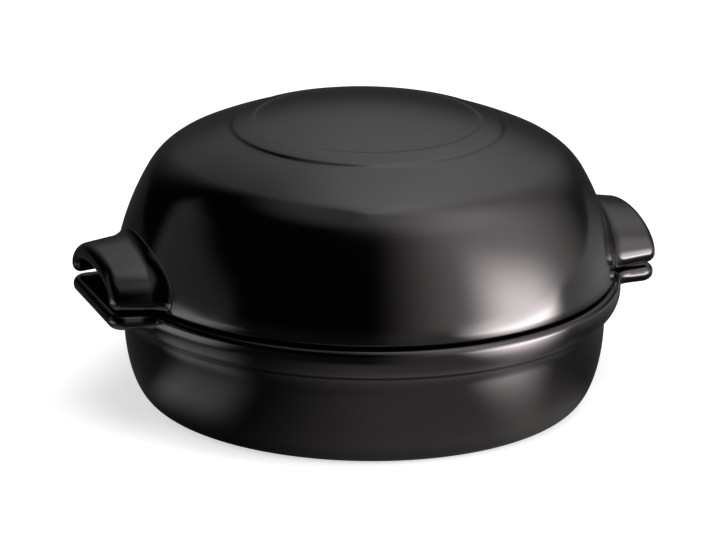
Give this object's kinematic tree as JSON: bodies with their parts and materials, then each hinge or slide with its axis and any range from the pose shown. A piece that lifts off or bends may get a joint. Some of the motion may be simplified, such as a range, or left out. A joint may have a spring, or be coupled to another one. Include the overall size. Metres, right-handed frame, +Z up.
{
  "type": "cheese baker",
  "caption": "Round stoneware cheese baker: a low dish with flat handle tabs and a tall domed lid with arched handles that lifts off.",
  "frame": {"origin": "on the table under the middle of the dish, at the centre of the foot ring", "axes": "+Z up along the axis the dish and the lid are turned about, +X towards one pair of handles"},
  "size_m": [0.1906, 0.1708, 0.099],
  "materials": {
    "dish_glaze": "gloss",
    "lid_glaze": "gloss"
  },
  "bodies": {
    "dish": {"dish": "dish_glaze"},
    "lid": {"dome_lid": "lid_glaze"}
  },
  "joints": [
    {"name": "lid_lift", "type": "slide", "parent": "dish", "child": "lid", "axis": [0, 0, 1], "range_m": [0, 0.12]}
  ]
}
